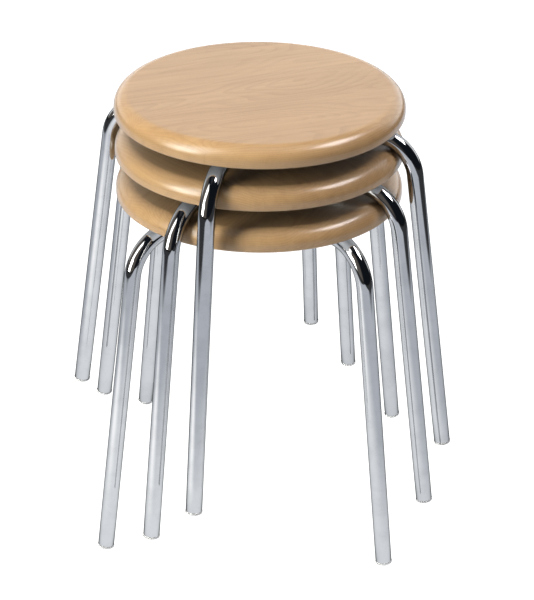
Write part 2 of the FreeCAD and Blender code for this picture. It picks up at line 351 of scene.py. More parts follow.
backwards = math_node(grain, "MULTIPLY", given["Grain Turn"], -1.0)
turned = add_node(
    grain,
    "ShaderNodeVectorRotate",
    {"Vector": given["Position"], "Angle": backwards},
    rotation_type="Z_AXIS",
).outputs[0]
moved = vector_node(grain, "ADD", turned, given["Shift"])
wood_axes = axes_of(grain, moved)

stave = math_node(grain, "DIVIDE", wood_axes["Y"], given["Stave Width"])
stave_number = math_node(grain, "FLOOR", stave)
stave_share = math_node(grain, "FRACT", stave)
stave_tone = add_node(
    grain, "ShaderNodeTexWhiteNoise", {"W": stave_number}, noise_dimensions="1D"
).outputs["Value"]
other_share = math_node(grain, "SUBTRACT", 1.0, stave_share)
from_joint = math_node(grain, "MINIMUM", stave_share, other_share)
glue_line = smooth_range(grain, from_joint, GLUE_LINE, 0.0)
print("beech_grain has its staves")

# %% [markdown]
# The other parts of the figure are soft noise, each stretched along the grain by its own amount.
# White noise of the stave's number moves them from one stave to the next, so that no two match.

# %% The soft patterns
# How far the pattern is moved in each stave, along, across and through the grain: by its tone, by
# its number and by its tone again.
STAVE_MOVE = (3.7, 0.31, 1.3)
# Each pattern: its waves in a metre along, across and through the grain, its detail and roughness.
WOOD_PATTERNS = {
    "trunk": ((2.2, 9.0, 9.0), 2.0, 0.45),
    "rings": ((6.0, 30.0, 30.0), 1.0, 0.5),
    "fibres": ((40.0, 1400.0, 1400.0), 2.0, 0.6),
    "bands": ((5.0, 130.0, 130.0), 3.0, 0.55),
    "flecks": ((260.0, 1500.0, 1500.0), 1.0, 0.4),
    "clouds": ((7.0, 16.0, 16.0), 2.0, 0.5),
}
FLECK_LEVELS = (0.60, 0.74)

draws = (stave_tone, stave_number, stave_tone)
moves = [math_node(grain, "MULTIPLY", draw, reach) for draw, reach in zip(draws, STAVE_MOVE)]
stave_shift = add_node(grain, "ShaderNodeCombineXYZ", dict(enumerate(moves))).outputs[0]
in_stave = vector_node(grain, "ADD", moved, stave_shift)
pattern = {name: noise(grain, in_stave, *values) for name, values in WOOD_PATTERNS.items()}
flecks = smooth_range(grain, pattern["flecks"], *FLECK_LEVELS)
print("beech_grain has its patterns:", list(pattern))

# %% [markdown]
# The growth lines of each stave are the rings of a trunk whose middle lies below the board. A ring's
# number is the distance from that middle, which wanders slowly up and down along the stave, so the
# flat cut shows long arches.

# %% The growth lines
TRUNK_WANDER = 0.085  # metres
TRUNK_WIDTH = 0.07  # metres of the trunk that a stave shows
RINGS_IN_A_METRE = 360.0
LATE_WOOD = (0.35, 1.0)  # where in a ring the wood starts to darken, and where it is darkest

wander = math_node(grain, "MULTIPLY", pattern["trunk"], TRUNK_WANDER)
above_middle = math_node(grain, "ADD", wood_axes["Z"], wander)
beside_middle = math_node(grain, "SUBTRACT", stave_share, 0.5)
beside_middle = math_node(grain, "MULTIPLY", beside_middle, TRUNK_WIDTH)
squares = [math_node(grain, "POWER", side, 2.0) for side in (beside_middle, above_middle)]
from_middle = math_node(grain, "SQRT", math_node(grain, "ADD", *squares))
ring = math_node(grain, "MULTIPLY", from_middle, RINGS_IN_A_METRE)
late_wood = smooth_range(grain, math_node(grain, "FRACT", ring), *LATE_WOOD)
ring_part = math_node(grain, "MULTIPLY", late_wood, pattern["rings"])
ring_part = math_node(grain, "MULTIPLY", ring_part, given["Figure"])
print(f"beech_grain has its growth lines, {1000 / RINGS_IN_A_METRE:.1f} mm apart")

# %% [markdown]
# The parts are added up into one measure of darkness, which blends two colours of the wood. The
# bands also change how dull it is, and the surface dips at the flecks and between the fibres.

# %% The grain's colour
RING_WEIGHT = 0.55
BASE_DARKNESS = 0.22
# Each part with the level that changes nothing, and how much darker it makes the wood.
WEIGHED_PARTS = (
    (pattern["bands"], 0.5, 0.68),
    (pattern["fibres"], 0.5, 0.30),
    (pattern["clouds"], 0.5, 0.62),
    (stave_tone, 0.5, 0.16),
    (glue_line, 0.0, 0.08),
    (flecks, 0.0, given["Flecks"]),
)

darkness = math_node(grain, "MULTIPLY", ring_part, RING_WEIGHT)
for part, middle, weight in WEIGHED_PARTS:
    change = math_node(grain, "SUBTRACT", part, middle)
    darkness = math_node(grain, "ADD", darkness, math_node(grain, "MULTIPLY", change, weight))
darkness = math_node(grain, "ADD", darkness, BASE_DARKNESS, clamp=True)
wood_colour = mix_colours(grain, darkness, given["Light"], given["Dark"])
grain.links.new(wood_colour, result["Color"])
print("parts of the beech's colour:", len(WEIGHED_PARTS) + 1)

# %% The grain's roughness and height
WOOD_ROUGHNESS = 0.30
BAND_ROUGHNESS = 0.10
FLECK_HEIGHT = -0.5
FIBRE_HEIGHT = 0.35

gloss_change = math_node(grain, "MULTIPLY", pattern["bands"], BAND_ROUGHNESS)
grain.links.new(math_node(grain, "ADD", gloss_change, WOOD_ROUGHNESS), result["Roughness"])
open_grain = math_node(grain, "MULTIPLY", flecks, FLECK_HEIGHT)
fibre_rise = math_node(grain, "MULTIPLY", pattern["fibres"], FIBRE_HEIGHT)
grain.links.new(math_node(grain, "ADD", open_grain, fibre_rise), result["Height"])
print("beech_grain puts out:", [item.name for item in result if item.name])

# %% [markdown]
# The seats are sealed with a satin lacquer. The wood itself is dull, so the shine is a separate
# clear coat on top with its own roughness. Each seat is another piece of timber, so each has its
# own grain direction and its own place in the pattern. The underside only shows as a reflection in
# the tubes, where the photograph has no brown, so it is taken to be painted pale grey. The paint
# covers only what faces nearly straight down.

# %% Beech materials, one for each seat
SEAT_GRAIN = {
    "top": {"turn": 20, "shift": (0.13, 0.0433, 0.0)},
    "middle": {"turn": -52, "shift": (1.31, 0.012, 0.4)},
    "bottom": {"turn": 67, "shift": (2.57, 0.033, 0.9)},
}
BEECH_LIGHT = (0.615, 0.381, 0.180, 1)
BEECH_DARK = (0.40, 0.218, 0.088, 1)
UNDERSIDE_GREY = (0.74, 0.74, 0.72, 1)
FACING_DOWN = (-0.80, -0.95)


def beech(stool):
    material, tree, shader = new_material(f"beech_{stool}")
    choices = {
        "Position": own_position(tree),
        "Grain Turn": math.radians(SEAT_GRAIN[stool]["turn"]),
        "Shift": SEAT_GRAIN[stool]["shift"],
        "Light": BEECH_LIGHT,
        "Dark": BEECH_DARK,
        "Figure": 0.70,
        "Flecks": 0.28,
    }
    wood = use_group(tree, grain, choices)
    facing = axes_of(tree, add_node(tree, "ShaderNodeTexCoord").outputs["Normal"])["Z"]
    underside = smooth_range(tree, facing, *FACING_DOWN)
    lacquered = {
        "Base Color": mix_colours(tree, underside, wood["Color"], UNDERSIDE_GREY),
        "Roughness": wood["Roughness"],
        "Normal": bumped(tree, wood["Height"], strength=0.06, distance=0.3 * MM),
        "Specular IOR Level": 0.5,
        "Coat Weight": 0.9,
        "Coat Roughness": 0.20,
    }
    feed(tree, shader, lacquered)
    return material


BEECH = {stool: beech(stool) for stool in STOOLS}
print("beech finishes:", [material.name for material in BEECH.values()])

# %% [markdown]
# Bright plated steel
#
# The tubes, plates and welds are nickel and chrome plated: almost a mirror, so most of what shows on
# them is the room. A perfect mirror looks drawn, though. Real plating has a faint haze that comes
# and goes, fine wipe marks, and a slight waviness left from drawing and bending the tube. One group
# makes all three, and each material says how strong they are. In the photograph a thin dark line
# runs along both sides of every tube, where the metal is seen edge-on. The shader's specular tint
# colours only that part of a metal, so a dark tint paints the line on as a painted dark reflection.

# %% The plating group
plating, given, result = new_group(
    "plating_wear",
    {
        "Position": ("vector", None),
        "Metal": ("colour", (0.6, 0.6, 0.62, 1)),
        "Haze": ("colour", (0.5, 0.5, 0.5, 1)),
        "Least Roughness": ("value", 0.03),
        "Most Roughness": ("value", 0.1),
        "Waviness": ("value", 0.5),
        "Scuffs": ("value", 0.3),
    },
    {"Color": "colour", "Roughness": "value", "Height": "value"},
)
print("plating_wear takes:", [item.name for item in given if item.name])

# %% Haze, scuffs and waviness
# Each mark: its waves in a metre, detail and roughness, and the levels of noise where it comes in.
PLATING_MARKS = {
    "haze": ((38.0, 38.0, 38.0), 4.0, 0.62, (0.38, 0.72)),
    "wipes": ((900.0, 900.0, 90.0), 2.0, 0.6, (0.58, 0.80)),
    "speckle": ((1300.0, 1300.0, 1300.0), 1.0, 0.5, (0.66, 0.78)),
}
HAZE_DULLING = 0.6
DRAWN_WAVES = (60.0, 60.0, 16.0)
SCUFF_DEPTH = 0.02

surface = given["Position"]
mark = {}
for name, (waves, detail, rough, levels) in PLATING_MARKS.items():
    mark[name] = smooth_range(plating, noise(plating, surface, waves, detail, rough), *levels)
scuffs = math_node(plating, "MAXIMUM", mark["wipes"], mark["speckle"])
scuffs = math_node(plating, "MULTIPLY", scuffs, given["Scuffs"])
hazed = math_node(plating, "MULTIPLY", mark["haze"], HAZE_DULLING)
dulling = math_node(plating, "ADD", hazed, scuffs, clamp=True)
limits = {"To Min": given["Least Roughness"], "To Max": given["Most Roughness"]}
roughness = add_node(plating, "ShaderNodeMapRange", {"Value": dulling} | limits).outputs["Result"]
metal = mix_colours(plating, dulling, given["Metal"], given["Haze"])
wave = noise(plating, surface, DRAWN_WAVES, detail=1.0, roughness=0.5)
wave = math_node(plating, "MULTIPLY", wave, given["Waviness"])
rise = math_node(plating, "SUBTRACT", wave, math_node(plating, "MULTIPLY", scuffs, SCUFF_DEPTH))
feed(plating, result, {"Color": metal, "Roughness": roughness, "Height": rise})
print("plating_wear puts out:", [item.name for item in result if item.name])

# %% Plated materials
# A dark specular tint for every plated part: painted shade that darkens its edge-on reflection.
PAINTED_DARK_EDGE_TINT = (0.10, 0.11, 0.10, 1)
PLATED = {
    "tube_plating": {
        "Metal": (0.62, 0.625, 0.635, 1),
        "Haze": (0.52, 0.525, 0.535, 1),
        "Least Roughness": 0.025,
        "Most Roughness": 0.12,
        "Waviness": 0.35,
        "Scuffs": 0.5,
    },
    "plate_plating": {
        "Metal": (0.56, 0.56, 0.57, 1),
        "Haze": (0.46, 0.46, 0.46, 1),
        "Least Roughness": 0.16,
        "Most Roughness": 0.34,
        "Waviness": 0.25,
        "Scuffs": 0.6,
    },
    "weld_plating": {
        "Metal": (0.50, 0.50, 0.51, 1),
        "Haze": (0.36, 0.35, 0.34, 1),
        "Least Roughness": 0.18,
        "Most Roughness": 0.42,
        "Waviness": 0.9,
        "Scuffs": 0.8,
    },
    "screw_plating": {
        "Metal": (0.60, 0.58, 0.54, 1),
        "Haze": (0.42, 0.40, 0.36, 1),
        "Least Roughness": 0.22,
        "Most Roughness": 0.45,
        "Waviness": 0.1,
        "Scuffs": 0.8,
    },
}


def plated(name):
    material, tree, shader = new_material(name)
    wear = use_group(tree, plating, {"Position": own_position(tree), **PLATED[name]})
    bright = {
        "Base Color": wear["Color"],
        "Roughness": wear["Roughness"],
        "Normal": bumped(tree, wear["Height"], strength=0.5, distance=0.25 * MM),
        "Metallic": 1.0,
        # painted dark reflection along the edge-on sides
        "Specular Tint": PAINTED_DARK_EDGE_TINT,
    }
    feed(tree, shader, bright)
    return material


METAL = {name: plated(name) for name in PLATED}
print("metal finishes:", list(METAL))

# %% [markdown]
# Glide plastic
#
# The glides are a milky polyethylene: off-white, soft in the highlight, and a little greyer where
# they have rubbed on floors. The moulding is smooth with a faint orange-peel texture. Such plastic
# also glows a little from within, but a glide is too small in the picture for that to show, so a
# plain colour that varies with the wear is enough.

# %% Glide material
CLEAN_PLASTIC = (0.64, 0.64, 0.635, 1)
RUBBED_PLASTIC = (0.52, 0.515, 0.50, 1)
CLEAN_ROUGHNESS, RUBBED_ROUGHNESS = 0.34, 0.52
RUBBED_WAVES, RUBBED_LEVELS = (210.0, 210.0, 210.0), (0.35, 0.75)
PEEL_WAVES = (1500.0, 1500.0, 1500.0)


def milky_plastic():
    material, tree, shader = new_material("milky_plastic")
    place = own_position(tree)
    patches = noise(tree, place, RUBBED_WAVES, detail=3.0, roughness=0.6)
    rubbed = smooth_range(tree, patches, *RUBBED_LEVELS)
    peel = noise(tree, place, PEEL_WAVES, detail=2.0, roughness=0.5)
    moulded = {
        "Base Color": mix_colours(tree, rubbed, CLEAN_PLASTIC, RUBBED_PLASTIC),
        "Roughness": smooth_range(tree, rubbed, 0, 1, CLEAN_ROUGHNESS, RUBBED_ROUGHNESS),
        "Normal": bumped(tree, peel, strength=0.12, distance=0.1 * MM),
    }
    feed(tree, shader, moulded)
    return material


GLIDE_PLASTIC = milky_plastic()
print("glide finish:", GLIDE_PLASTIC.name)

# %% [markdown]
# The seats
#
# A seat is turned from a glued round: flat above and below, a wide quarter-round on the upper edge
# and a small one on the lower edge. Each quarter-round runs tangent into its neighbours, so smooth
# shading has no crease to fight. Extra rings close to each tangent line keep the flat parts flat.

# %% Turn the seats
SEAT_SIDES = 256
UPPER_STEPS, LOWER_STEPS = 28, 10
FLAT_RINGS = (0.25, 0.5, 0.75, 0.9, 0.98, 0.997)
BESIDE_THE_EDGE = 0.5 * MM


def seat_outline():
    inner_top = SEAT_RADIUS - SEAT_TOP_EDGE
    inner_bottom = SEAT_RADIUS - SEAT_BOTTOM_EDGE
    lower_centre = (inner_bottom, SEAT_UNDERSIDE + SEAT_BOTTOM_EDGE)
    upper_centre = (inner_top, SEAT_TOP - SEAT_TOP_EDGE)
    flat = [inner_top * share for share in FLAT_RINGS]
    points = [(0, SEAT_UNDERSIDE)]
    points += [(reach, SEAT_UNDERSIDE) for reach in flat]
    points += [(inner_bottom - BESIDE_THE_EDGE, SEAT_UNDERSIDE)]
    points += arc(lower_centre, SEAT_BOTTOM_EDGE, -90, 0, LOWER_STEPS)
    points += arc(upper_centre, SEAT_TOP_EDGE, 0, 90, UPPER_STEPS)
    points += [(reach, SEAT_TOP) for reach in reversed(flat)]
    return points + [(0, SEAT_TOP)]


for stool in STOOLS:
    add_piece(
        f"{stool}_seat_round",
        turned_mesh(seat_outline(), SEAT_SIDES),
        PLACE[stool],
        f"{stool}_stool",
        f"{stool}_seat",
        BEECH[stool],
    )
print("three seats turned")

# %% [markdown]
# The legs
#
# A leg is one tube: level under the seat, through one bend, then down and out. It is a ring swept
# along a line, first up the outside and then back down the bore, so that the wall is real. The
# inner end is mitred, because four tubes meet there in a cross: each point of that end is pushed
# out by as much as it lies sideways. The lower end has a small rounded lip. The glide's rim is
# measured first, because the tube stops there.

# %% The glide's dome and rim
GLIDE_DOME = 16 * MM
GLIDE_FLAT = 1 * MM
GLIDE_RIM = TUBE_RADIUS + 0.4 * MM
GLIDE_RIM_HEIGHT = 2.2 * MM
# These three lie along the leg's axis, counted from where it meets the floor.
DOME_CENTRE = (GLIDE_DOME - GLIDE_FLAT) / math.cos(LEG_SPLAY)
RIM_START = DOME_CENTRE - math.sqrt(GLIDE_DOME**2 - GLIDE_RIM**2)
TUBE_END = RIM_START + GLIDE_RIM_HEIGHT
print(f"the tube stops {TUBE_END / MM:.1f} mm short of the floor, along its axis")

# %% The tube's line
BEND_START = CORNER_REACH - BEND_SETBACK
BEND_LENGTH = BEND_RADIUS * BEND_TURN
STRAIGHT = AXIS_HEIGHT / math.cos(LEG_SPLAY) - BEND_SETBACK - TUBE_END
TUBE_LENGTH = BEND_START + BEND_LENGTH + STRAIGHT


def tube_line(distance):
    """A point of the tube's middle line and the two directions across it."""
    turn = min(max((distance - BEND_START) / BEND_RADIUS, 0), BEND_TURN)
    level = min(distance, BEND_START)
    reach = level + BEND_RADIUS * math.sin(turn)
    height = AXIS_HEIGHT - BEND_RADIUS * (1 - math.cos(turn))
    down = max(distance - BEND_START - BEND_LENGTH, 0)
    point = Vector((reach + down * math.cos(turn), 0, height - down * math.sin(turn)))
    return point, Vector((math.sin(turn), 0, math.cos(turn))), Vector((0, 1, 0))


foot = tube_line(TUBE_LENGTH)[0]
print(f"a tube is {TUBE_LENGTH / MM:.0f} mm long and ends {foot.z / MM:.1f} mm above the floor")

# %% Rings along the tube
MITRE_GAP = 0.05 * MM
PAST_THE_MITRE, BEFORE_THE_BEND = 1 * MM, 4 * MM
LEVEL_SHARES, STRAIGHT_SHARES = (0.4, 0.7), (0.015, 0.3, 0.6, 0.9)
BEND_STEPS = 44
LIP, LIP_MIDDLE = 0.3 * MM, 0.3
BORE_STEP = 3  # the bore has a ring at every third one of the skin


def tube_stations():
    """Distances along the tube with the ring's radius there: out along the skin, back in the bore."""
    bore = TUBE_RADIUS - TUBE_WALL
    run = [TUBE_RADIUS + PAST_THE_MITRE] + [BEND_START * share for share in LEVEL_SHARES]
    run += [BEND_START - BEFORE_THE_BEND]
    run += [BEND_START + BEND_LENGTH * i / BEND_STEPS for i in range(BEND_STEPS + 1)]
    run += [BEND_START + BEND_LENGTH + STRAIGHT * share for share in STRAIGHT_SHARES]
    skin_rings = [(distance, TUBE_RADIUS) for distance in [0] + run + [TUBE_LENGTH - LIP]]
    skin_rings += [(TUBE_LENGTH - LIP_MIDDLE * LIP, TUBE_RADIUS - LIP_MIDDLE * LIP)]
    skin_rings += [(TUBE_LENGTH, TUBE_RADIUS - LIP)]
    back = reversed(run[::BORE_STEP])
    return skin_rings + [(distance, bore) for distance in (TUBE_LENGTH, *back, 0)]


print("rings along a tube, outside and inside:", len(tube_stations()))

# %% Sweep the legs
TUBE_SIDES = 80


def leg_mesh():
    mesh = bmesh.new()
    rings = []
    for distance, radius in tube_stations():
        ring = []
        for i in range(TUBE_SIDES):
            angle = 2 * math.pi * i / TUBE_SIDES
            sideways = radius * math.sin(angle)
            start = abs(sideways) + MITRE_GAP if distance == 0 else distance
            point, up, across = tube_line(start)
            ring.append(mesh.verts.new(point + up * radius * math.cos(angle) + across * sideways))
        rings.append(ring)
    skin(mesh, rings + rings[:1])
    return mesh


for stool in STOOLS:
    for leg, turn in LEGS.items():
        add_piece(
            f"{stool}_leg_tube_{leg}",
            leg_mesh(),
            PLACE[stool] @ Matrix.Rotation(math.radians(turn), 4, "Z"),
            f"{stool}_stool",
            f"{stool}_leg_{leg}",
            METAL["tube_plating"],
        )
print("twelve tubes swept")

# %% [markdown]
# The glides
#
# A glide is turned along the leg's own axis: a shallow dome, a rim a little wider than the tube,
# and a ribbed stem that grips the bore. The leg leans, so the flat that the glide stands on isn't
# square to its axis. The dome is therefore turned whole, leaned with the leg, and then cut level.

# %% Turn the glides
GLIDE_SIDES = 64
GLIDE_STEM = 18 * MM
GLIDE_RIB = TUBE_RADIUS - TUBE_WALL - 0.05 * MM
GLIDE_CORE = GLIDE_RIB - 1.1 * MM
RIBS, RIB_STEP = 3, 5 * MM
RIB_CREST, RIB_LENGTH = 1.2 * MM, 2.4 * MM
RIM_ROUND = 0.5 * MM
DOME_STEPS, RIM_STEPS = 14, 4


def glide_outline():
    rim_angle = math.degrees(math.asin((RIM_START - DOME_CENTRE) / GLIDE_DOME))
    points = arc((0, DOME_CENTRE), GLIDE_DOME, -90, rim_angle, DOME_STEPS)
    points += arc((GLIDE_RIM - RIM_ROUND, TUBE_END - RIM_ROUND), RIM_ROUND, 0, 90, RIM_STEPS)
    points += [(GLIDE_CORE, TUBE_END)]
    for rib in range(RIBS):
        foot = TUBE_END + (rib + 0.5) * RIB_STEP
        points += [(GLIDE_CORE, foot), (GLIDE_RIB, foot)]
        points += [(GLIDE_RIB, foot + RIB_CREST), (GLIDE_CORE, foot + RIB_LENGTH)]
    return points + [(GLIDE_CORE, TUBE_END + GLIDE_STEM), (0, TUBE_END + GLIDE_STEM)]


def glide_mesh():
    mesh = turned_mesh(glide_outline(), GLIDE_SIDES)
    lean = Matrix.Translation((FOOT_REACH, 0, 0)) @ Matrix.Rotation(-LEG_SPLAY, 4, "Y")
    mesh.transform(lean)
    everything = mesh.verts[:] + mesh.edges[:] + mesh.faces[:]
    cut = bmesh.ops.bisect_plane(
        mesh, geom=everything, plane_co=(0, 0, 0), plane_no=(0, 0, -1), clear_outer=True
    )
    rim = [item for item in cut["geom_cut"] if isinstance(item, bmesh.types.BMEdge)]
    bmesh.ops.contextual_create(mesh, geom=rim)
    return mesh


for stool in STOOLS:
    for leg, turn in LEGS.items():
        add_piece(
            f"{stool}_glide_plug_{leg}",
            glide_mesh(),
            PLACE[stool] @ Matrix.Rotation(math.radians(turn), 4, "Z"),
            f"{stool}_stool",
            f"{stool}_glide_{leg}",
            GLIDE_PLASTIC,
        )
print("twelve glides turned")

# %% [markdown]
# Plates, screws and welds
#
# These lie under the seat and only show from below. A plate is a stamped disc with four holes: a
# flat curve with four holes in it, given a thickness and a small bevel, is the quickest way to
# such a shape. A weld bead is a row of overlapping ripples, left as the weld pool froze step by
# step, so its section is swept along the tube while it swells and shrinks.

# %% Stamp the plates
SCREW_CIRCLE = 42 * MM
SCREW_HOLE = 2.3 * MM
SCREW_ANGLES = (45, 135, 225, 315)
PLATE_BEVEL, BEVEL_STEPS = 0.25 * MM, 2
PLATE_SIDES, HOLE_SIDES = 128, 32
SAME_POINT = 1e-7


def add_round(curve, x, y, radius, sides):
    spline = curve.splines.new("POLY")
    spline.points.add(sides - 1)
    for i, point in enumerate(spline.points):
        angle = 2 * math.pi * i / sides
        point.co = (x + radius * math.cos(angle), y + radius * math.sin(angle), 0, 1)
    spline.use_cyclic_u = True


def plate_curve():
    curve = bpy.data.curves.new("plate_outline", "CURVE")
    curve.dimensions = "2D"
    curve.fill_mode = "BOTH"
    curve.extrude = (plate_high.z - plate_low.z) / 2 - PLATE_BEVEL
    curve.bevel_depth = PLATE_BEVEL
    curve.bevel_resolution = BEVEL_STEPS
    curve.offset = -PLATE_BEVEL
    add_round(curve, 0, 0, PLATE_RADIUS, PLATE_SIDES)
    for angle in map(math.radians, SCREW_ANGLES):
        x, y = SCREW_CIRCLE * math.cos(angle), SCREW_CIRCLE * math.sin(angle)
        add_round(curve, x, y, SCREW_HOLE, HOLE_SIDES)
    return curve


def plate_mesh():
    curve = plate_curve()
    maker = bpy.data.objects.new("plate_maker", curve)
    bpy.context.scene.collection.objects.link(maker)
    made = bpy.data.meshes.new_from_object(maker)
    mesh = bmesh.new()
    mesh.from_mesh(made)
    bmesh.ops.remove_doubles(mesh, verts=mesh.verts, dist=SAME_POINT)
    mesh.transform(Matrix.Translation((0, 0, (plate_low.z + plate_high.z) / 2)))
    bpy.data.objects.remove(maker)
    bpy.data.curves.remove(curve)
    return mesh


PLATE_CREASE = math.radians(30)
for stool in STOOLS:
    piece = add_piece(
        f"{stool}_plate_disc",
        plate_mesh(),
        PLACE[stool],
        f"{stool}_stool",
        f"{stool}_mounting_plate",
        METAL["plate_plating"],
    )
    piece.data.set_sharp_from_angle(angle=PLATE_CREASE)
print("three plates stamped")

# %% A weld bead's section
WELD_ROOT = 3.6 * MM
WELD_WIDTH = 4.4 * MM
WELD_DEPTH = 4.1 * MM
FACE_STEPS = 8


def bead_section(side, swell):
    """The bead's section across the tube: root, toe on the plate, swollen face, toe on the tube."""
    toe = WELD_ROOT + WELD_WIDTH
    on_tube = math.sqrt(TUBE_RADIUS**2 - (TUBE_RADIUS - WELD_DEPTH) ** 2)
    root_height = math.sqrt(TUBE_RADIUS**2 - WELD_ROOT**2) - TUBE_RADIUS
    points = [(WELD_ROOT, root_height), (WELD_ROOT, 0)]
    for i in range(FACE_STEPS + 1):
        share = i / FACE_STEPS
        bulge = math.sin(math.pi * share) * swell
        points.append((toe + (on_tube - toe) * share + bulge, -WELD_DEPTH * share))
    return [(side * across, up) for across, up in points]


print("points around a bead:", len(bead_section(1, 0)))

# %% Lay the weld beads
WELD_START = 16 * MM
WELD_LENGTH = 38 * MM
WELD_SWELL, RIPPLE_SWELL = 0.35 * MM, 0.35 * MM
RIPPLES, RIPPLE_STEPS = 17, 6
TAPERS_IN_A_BEAD = 12  # each end tapers over a twelfth of the bead
WELD_CREASE = math.radians(50)


def bead_rings(mesh, side):
    rings = []
    steps = RIPPLES * RIPPLE_STEPS
    for step in range(steps + 1):
        share = step / steps
        ripple = abs(math.sin(math.pi * RIPPLES * share))
        taper = min(1, TAPERS_IN_A_BEAD * share, TAPERS_IN_A_BEAD * (1 - share)) ** 0.5
        section = bead_section(side, (WELD_SWELL + RIPPLE_SWELL * ripple) * taper)
        along = WELD_START + WELD_LENGTH * share
        rings.append([mesh.verts.new((along, across, up)) for across, up in section])
    return rings


def weld_mesh():
    mesh = bmesh.new()
    for turn in LEGS.values():
        for side in (1, -1):
            rings = bead_rings(mesh, side)
            skin(mesh, rings)
            mesh.faces.new(rings[0])
            mesh.faces.new(rings[-1])
            made = [vertex for ring in rings for vertex in ring]
            bmesh.ops.rotate(mesh, verts=made, matrix=Matrix.Rotation(math.radians(turn), 3, "Z"))
    mesh.transform(Matrix.Translation((0, 0, PLATE_UNDERSIDE)))
    return mesh


for stool in STOOLS:
    piece = add_piece(
        f"{stool}_weld_ripples",
        weld_mesh(),
        PLACE[stool],
        f"{stool}_stool",
        f"{stool}_weld_beads",
        METAL["weld_plating"],
    )
    piece.data.set_sharp_from_angle(angle=WELD_CREASE)
print("weld beads laid")

# %% Finish the screws
for stool in STOOLS:
    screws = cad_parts[f"{stool}_seat_screws"]
    for place in screws.material_slots:
        place.material = METAL["screw_plating"]
    print(screws.name, "keeps its packed shape with", screws.material_slots[0].material.name)

# %% [markdown]
# Floor
#
# The stack stands on a wide white sheet. The floor is no lamp, but it glows plain white to the
# camera, so no edge and hardly a shadow shows. For the other rays the glow is painted light, spread
# as a lit
# floor would be: brightest where the stack stands, a warm painted pool in front to the left, a bright
# painted part behind, and painted dark past the sheet's two sides. A pool is a soft ellipse of glow.
# The camera sees plain white, and only the other rays see the pools.

# %% The pool of light group
pool_group, given, result = new_group(
    "pool_of_light",
    {
        "Position": ("vector", None),
        "Middle": ("vector", (0, 0, 0)),
        "Reach": ("vector", (1, 1, 1)),
        "Core": ("value", 0.2),
    },
    {"Light": "value"},
)
from_middle = vector_node(pool_group, "SUBTRACT", given["Position"], given["Middle"])
shares = vector_node(pool_group, "DIVIDE", from_middle, given["Reach"])
away = vector_node(pool_group, "LENGTH", shares, out="Value")
pool_group.links.new(smooth_range(pool_group, away, 1.0, given["Core"]), result["Light"])
print("pool group is ready")

# %% The pools on the floor
FLOOR_SIZE = 60.0
WHITE = 1.3  # how bright the plain white is that the camera sees
# Each pool of painted glow: its middle, its reach to each side, the share of it that is evenly lit,
# its colour.
POOLS = {
    "sheet": ((0.0, 0.0), (9.0, 9.0), 0.60, (0.62, 0.655, 0.715)),
    "stand_pool": ((-0.12, -0.20), (0.85, 1.00), 0.15, (0.42, 0.41, 0.38)),
    "left_pool": ((-0.74, -0.52), (0.66, 0.55), 0.10, (0.68, 0.66, 0.62)),
    "back_pool": ((0.30, 3.20), (4.20, 3.00), 0.35, (0.22, 0.23, 0.25)),
}
# The sheet's two sides where the stack stands, from dark to fully lit, and how the left one slants.
SHEET_LEFT, SHEET_RIGHT = (-1.82, -1.42), (1.46, 1.18)
LEFT_SLANT = 0.30
PAST_THE_SHEET = 0.055
print("pools on the floor:", list(POOLS))

# %% [markdown]
# A photographer hides each light from what it shouldn't reach, with flags and grids. A share does
# the same here. It is a number from the ray's history, which the Light Path node gives: one level
# for a ray that has met only mirrors, so that it shows as a reflection in the chrome or lacquer,
# one for a ray that has met a dull surface, so that it lights the wood, and one for a ray that has
# met both. After two dull surfaces nothing is added, which keeps the gaps between the seats dark.

# %% The light share group
share_group, given, result = new_group(
    "light_share",
    {
        "Diffuse Depth": ("value", 0.0),
        "Glossy Depth": ("value", 0.0),
        "Mirror": ("value", 1.0),
        "Dull": ("value", 1.0),
        "Both": ("value", 0.0),
    },
    {"Share": "value"},
)
met_mirror = math_node(share_group, "MINIMUM", given["Glossy Depth"], 1.0)
dull_share = smooth_range(share_group, met_mirror, 0.0, 1.0, given["Dull"], given["Both"])
met_dull = given["Diffuse Depth"]
first_share = smooth_range(share_group, met_dull, 0.0, 1.0, given["Mirror"], dull_share)
met_two = smooth_range(share_group, met_dull, 2.0, 1.0)
share_group.links.new(math_node(share_group, "MULTIPLY", first_share, met_two), result["Share"])


def light_share(tree, rays, mirror, dull, both):
    inputs = {"Diffuse Depth": rays["Diffuse Depth"], "Glossy Depth": rays["Glossy Depth"]}
    return use_group(tree, share_group, inputs | {"Mirror": mirror, "Dull": dull, "Both": both})[0]


print("light_share takes:", [item.name for item in given if item.name])

# %% [markdown]
# The floor close to the stack lights the wood more than the floor further off, which is flagged.

# %% Lay the floor
NEAR_SHARE, FAR_SHARE = 1.2, 0.36
NEAR_REACH = (0.42, 0.95)
FLOOR_BOTH_SHARE = 1.45


